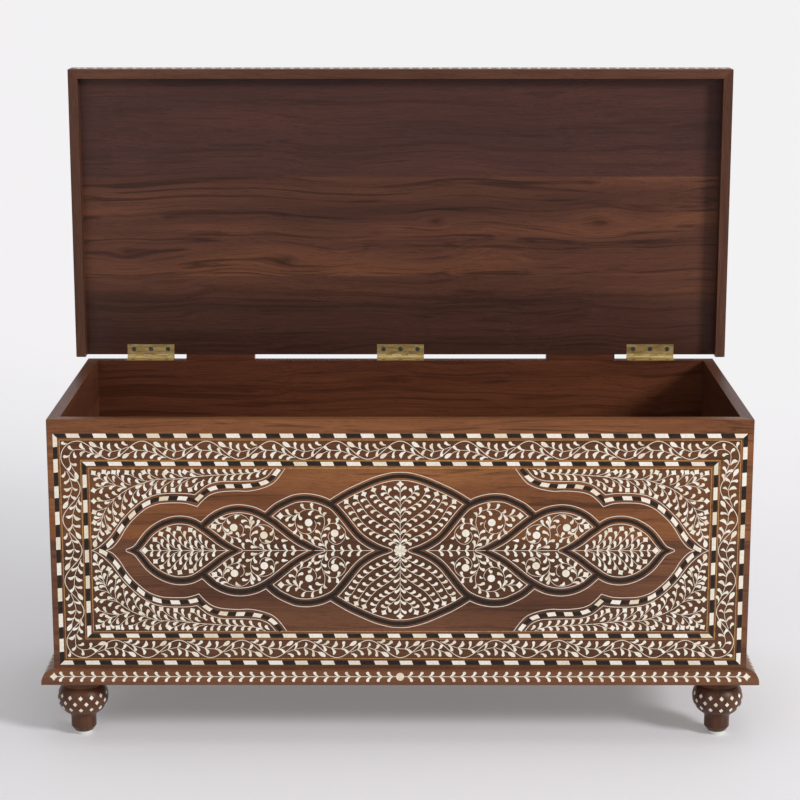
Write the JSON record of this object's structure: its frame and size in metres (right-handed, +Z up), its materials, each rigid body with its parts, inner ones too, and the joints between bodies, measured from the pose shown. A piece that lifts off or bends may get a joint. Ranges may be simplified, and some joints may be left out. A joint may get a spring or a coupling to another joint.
{
  "type": "bone inlay trunk",
  "caption": "Hinged wooden storage trunk with bone inlay on its front, sides and lid, a moulded base, turned feet and a rimmed lid that opens against rear stops.",
  "frame": {"origin": "on the floor, under the middle of the bounding box with the lid open", "axes": "+X to the viewer's right along the front, +Y from the inlaid front to the hinged back, +Z up"},
  "size_m": [1.05, 0.488, 0.9549],
  "materials": {
    "walnut_wall": "satin lacquer over reddish brown hardwood",
    "lid_wood": "satin lacquer over dark brown hardwood",
    "rim_wood": "satin lacquer",
    "moulding_wood": "satin lacquer",
    "turned_wood": "satin lacquer",
    "plain_wood": "stained, thin lacquer",
    "black_inlay": "polished black",
    "bone": "polished bone",
    "gilt_line": "fine gilt line",
    "hinge_brass": "brushed brass",
    "dark_steel": "blackened steel",
    "white_glide": "moulded"
  },
  "bodies": {
    "box": {"front_plank_lower": "walnut_wall", "front_plank_upper": "walnut_wall", "back_plank_lower": "walnut_wall", "back_plank_upper": "walnut_wall", "left_plank_lower": "walnut_wall", "left_plank_upper": "walnut_wall", "right_plank_lower": "walnut_wall", "right_plank_upper": "walnut_wall", "bottom_plank_front": "plain_wood", "bottom_plank_middle": "plain_wood", "bottom_plank_back": "plain_wood", "corner_splines": "plain_wood", "lid_stop_left": "plain_wood", "lid_stop_right": "plain_wood", "base_frame_front": "moulding_wood", "base_frame_right": "moulding_wood", "base_frame_back": "moulding_wood", "base_frame_left": "moulding_wood", "foot_front_left": "turned_wood", "foot_front_right": "turned_wood", "foot_back_left": "turned_wood", "foot_back_right": "turned_wood", "front_outer_banding": "black_inlay", "front_inner_banding": "black_inlay", "left_outer_banding": "black_inlay", "left_inner_banding": "black_inlay", "right_outer_banding": "black_inlay", "right_inner_banding": "black_inlay", "front_gilt_lines": "gilt_line", "left_gilt_lines": "gilt_line", "right_gilt_lines": "gilt_line", "hinge_left_box_leaf": "hinge_brass", "hinge_left_pin": "hinge_brass", "hinge_centre_box_leaf": "hinge_brass", "hinge_centre_pin": "hinge_brass", "hinge_right_box_leaf": "hinge_brass", "hinge_right_pin": "hinge_brass", "foot_bolts": "dark_steel", "base_frame_screws": "dark_steel", "bottom_plank_screws": "dark_steel", "lid_stop_screws": "dark_steel", "hinge_box_screws": "dark_steel", "foot_glides": "white_glide"},
    "lid": {"lid_plank_back": "lid_wood", "lid_plank_middle": "lid_wood", "lid_plank_front": "lid_wood", "lid_rim_front": "rim_wood", "lid_rim_left": "rim_wood", "lid_rim_right": "rim_wood", "lid_rim_pins": "plain_wood", "lid_outer_banding": "black_inlay", "lid_inner_banding": "black_inlay", "lid_gilt_lines": "gilt_line", "hinge_left_lid_leaf": "hinge_brass", "hinge_centre_lid_leaf": "hinge_brass", "hinge_right_lid_leaf": "hinge_brass", "hinge_lid_screws": "dark_steel"}
  },
  "joints": [
    {"name": "lid_hinge", "type": "hinge", "parent": "box", "child": "lid", "pos_m": [0, 0.2237, 0.48775], "axis": [1, 0, 0], "range_deg": [0, 90]}
  ]
}
